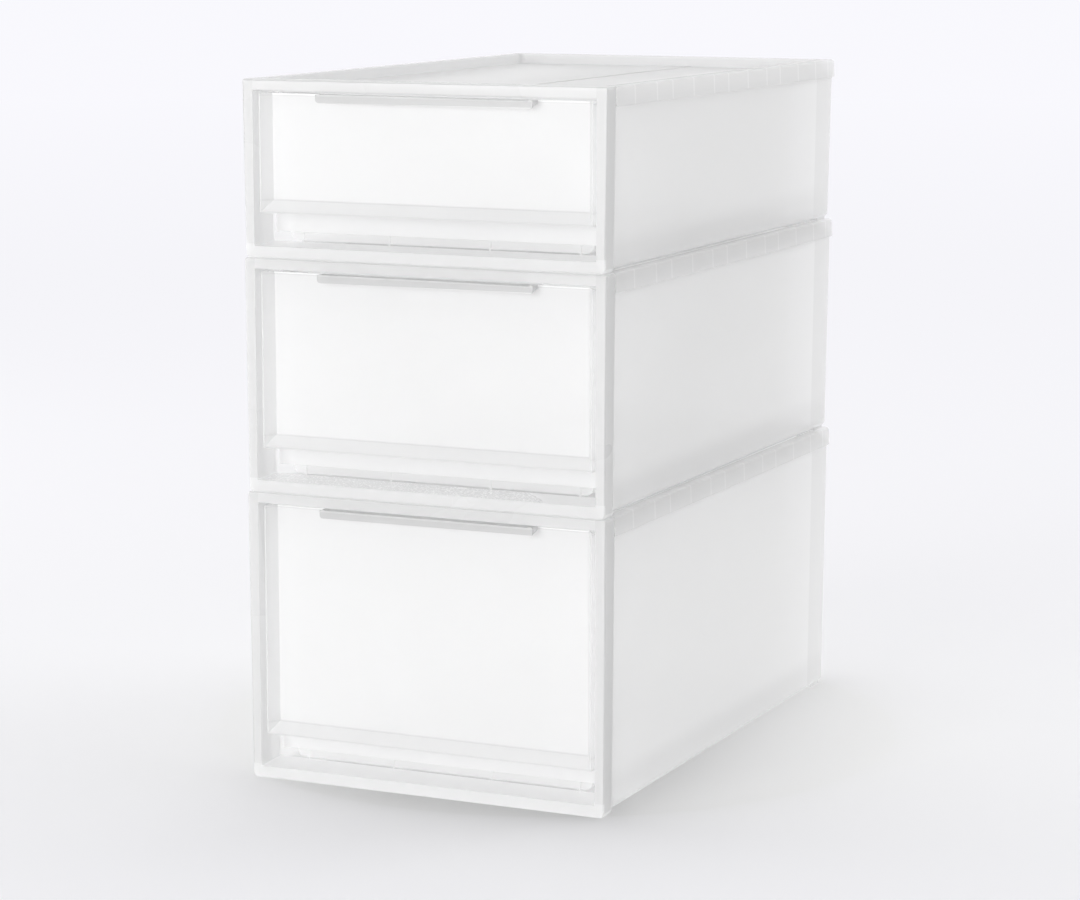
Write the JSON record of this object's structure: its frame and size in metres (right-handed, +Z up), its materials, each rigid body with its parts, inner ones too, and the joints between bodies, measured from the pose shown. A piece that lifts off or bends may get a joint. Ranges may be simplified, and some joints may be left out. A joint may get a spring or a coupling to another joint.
{
  "type": "stackable drawer box",
  "caption": "Stack of translucent plastic cases in graded heights, each with a slide-out drawer with a sunk front and a pull lip; each case lifts off the one below.",
  "frame": {"origin": "centre of the footprint, on the surface the stack stands on", "axes": "-Y out of the drawer fronts, +X to the right of someone facing the fronts, +Z up"},
  "size_m": [0.4, 0.65, 0.72],
  "materials": {
    "case_plastic": "fine satin, translucent",
    "panel_plastic": "fine satin, translucent",
    "frame_plastic": "smooth satin, nearly opaque",
    "tub_plastic": "smooth satin, translucent",
    "front_plastic": "frosted, translucent"
  },
  "bodies": {
    "bottom_case": {"bottom_case_body": "case_plastic", "bottom_top_panel": "panel_plastic", "bottom_front_frame": "frame_plastic"},
    "bottom_drawer": {"bottom_drawer_tub": "tub_plastic", "bottom_drawer_front": "front_plastic"},
    "middle_case": {"middle_case_body": "case_plastic", "middle_top_panel": "panel_plastic", "middle_front_frame": "frame_plastic"},
    "middle_drawer": {"middle_drawer_tub": "tub_plastic", "middle_drawer_front": "front_plastic"},
    "top_case": {"top_case_body": "case_plastic", "top_top_panel": "panel_plastic", "top_front_frame": "frame_plastic"},
    "top_drawer": {"top_drawer_tub": "tub_plastic", "top_drawer_front": "front_plastic"}
  },
  "joints": [
    {"name": "bottom_drawer_slide", "type": "slide", "parent": "bottom_case", "child": "bottom_drawer", "axis": [0, -1, 0], "range_m": [0, 0.47]},
    {"name": "middle_drawer_slide", "type": "slide", "parent": "middle_case", "child": "middle_drawer", "axis": [0, -1, 0], "range_m": [0, 0.47]},
    {"name": "top_drawer_slide", "type": "slide", "parent": "top_case", "child": "top_drawer", "axis": [0, -1, 0], "range_m": [0, 0.47]},
    {"name": "middle_case_lift", "type": "slide", "parent": "bottom_case", "child": "middle_case", "axis": [0, 0, 1], "range_m": [0, 0.12]},
    {"name": "top_case_lift", "type": "slide", "parent": "middle_case", "child": "top_case", "axis": [0, 0, 1], "range_m": [0, 0.12]}
  ]
}
